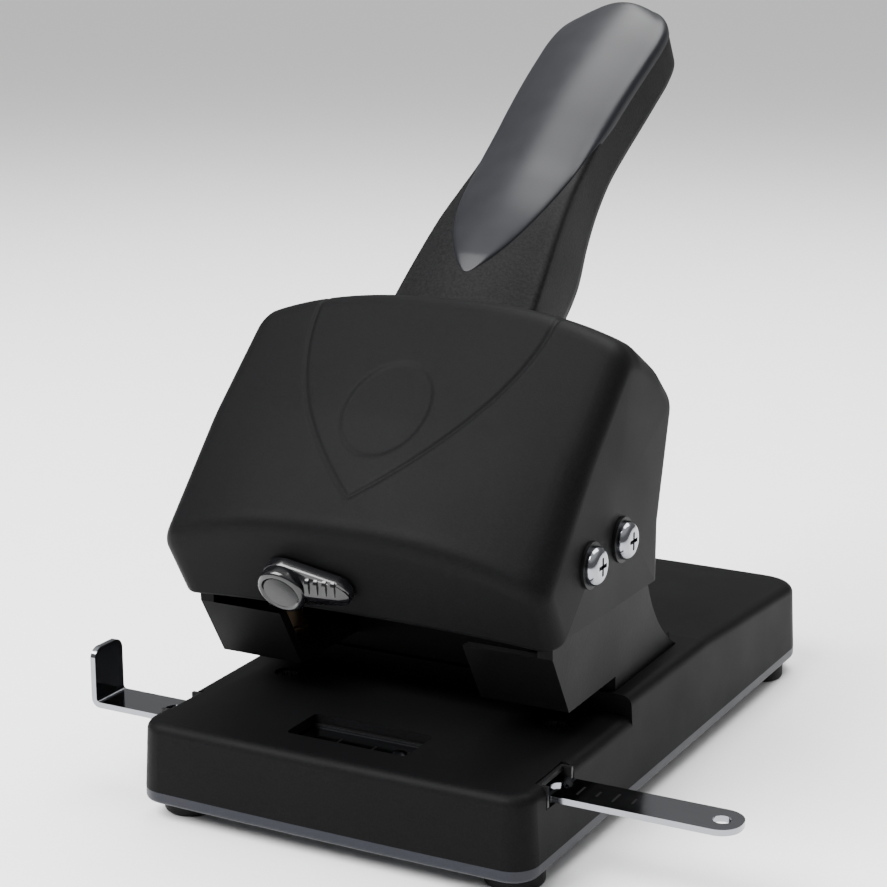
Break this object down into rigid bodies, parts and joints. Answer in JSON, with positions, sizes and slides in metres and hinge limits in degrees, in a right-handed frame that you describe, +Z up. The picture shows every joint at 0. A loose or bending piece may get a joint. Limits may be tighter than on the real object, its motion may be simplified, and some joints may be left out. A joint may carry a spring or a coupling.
{
  "type": "hole punch",
  "caption": "Desk punch for paper holes: hooded C-frame with spring-backed pins under a long sloping lever handle, sliding paper guide bar and hinged chip tray.",
  "frame": {"origin": "middle of the die line, on top of the paper table, midway between the two pins", "axes": "+X along the die line to the operator's right, +Y away from the operator, in the direction paper is pushed in, +Z up from the paper table"},
  "size_m": [0.178, 0.1988, 0.1962],
  "materials": {
    "body_plastic": "fine spark texture, black",
    "handle_plastic": "coarse speckled texture, black",
    "grip_rubber": "smooth soft-touch charcoal",
    "tray_plastic": "satin blue-black",
    "foot_rubber": "matt",
    "knob_plastic": "gloss",
    "frame_paint": "satin powder coat on cast alloy",
    "dark_washer": "satin",
    "chrome": "bright plated",
    "ground_steel": "ground",
    "zinc_steel": "zinc plated",
    "spring_steel": "drawn wire",
    "bronze": "sintered, oiled",
    "buffer_rubber": "matt",
    "guide_plastic": "satin"
  },
  "bodies": {
    "base": {"base_housing": "body_plastic", "die_left": "ground_steel", "die_right": "ground_steel", "frame_casting": "frame_paint", "frame_bolts": "zinc_steel", "stop_rod": "ground_steel", "stop_sleeve": "buffer_rubber", "pin_guide_left": "bronze", "pin_guide_right": "bronze", "pivot_shaft": "ground_steel", "head_cover": "body_plastic", "side_screws": "chrome", "side_washers": "dark_washer", "bar_channel": "guide_plastic", "notch_liner_left": "guide_plastic", "notch_liner_right": "guide_plastic", "detent_spring": "spring_steel", "tray_hinge_pins": "zinc_steel", "return_spring_left": "spring_steel", "return_spring_right": "spring_steel"},
    "handle": {"torque_tube": "zinc_steel", "press_cam_left": "zinc_steel", "press_cam_right": "zinc_steel", "lever_channel": "zinc_steel", "lever_spring": "spring_steel", "handle_shell": "handle_plastic", "grip_pad": "grip_rubber", "handle_screws": "zinc_steel"},
    "left_pin": {"punch_pin_left": "ground_steel", "spring_seat_left": "zinc_steel"},
    "right_pin": {"punch_pin_right": "ground_steel", "spring_seat_right": "zinc_steel"},
    "lock": {"lock_knob": "knob_plastic", "lock_shaft": "zinc_steel", "lock_catch": "zinc_steel"},
    "paper_guide": {"guide_bar": "chrome"},
    "tray": {"chip_tray": "tray_plastic", "rubber_feet": "foot_rubber"}
  },
  "joints": [
    {"name": "handle_press", "type": "hinge", "parent": "base", "child": "handle", "pos_m": [0, -0.012, 0.0465], "axis": [-1, 0, 0], "range_deg": [0, 44], "stiffness_Nm_per_rad": 0.6, "springref_deg": -45.84},
    {"name": "left_pin_slide", "type": "slide", "parent": "base", "child": "left_pin", "axis": [0, 0, -1], "range_m": [0, 0.0118], "deforming": ["return_spring_left"]},
    {"name": "right_pin_slide", "type": "slide", "parent": "base", "child": "right_pin", "axis": [0, 0, -1], "range_m": [0, 0.0118], "deforming": ["return_spring_right"]},
    {"name": "lock_turn", "type": "hinge", "parent": "base", "child": "lock", "pos_m": [-0.016, -0.03475, 0.04], "axis": [0, -0.8844, -0.4668], "range_deg": [0, 85]},
    {"name": "guide_bar_slide", "type": "slide", "parent": "base", "child": "paper_guide", "axis": [1, 0, 0], "range_m": [-0.0745, 0.018], "deforming": ["detent_spring"]},
    {"name": "tray_open", "type": "hinge", "parent": "base", "child": "tray", "pos_m": [0, 0.147, -0.018], "axis": [1, 0, 0], "range_deg": [0, 50]}
  ],
  "couplings": [
    {"joint": "left_pin_slide", "follows": "handle_press", "m_per_rad": 0.015236},
    {"joint": "right_pin_slide", "follows": "handle_press", "m_per_rad": 0.015236}
  ]
}
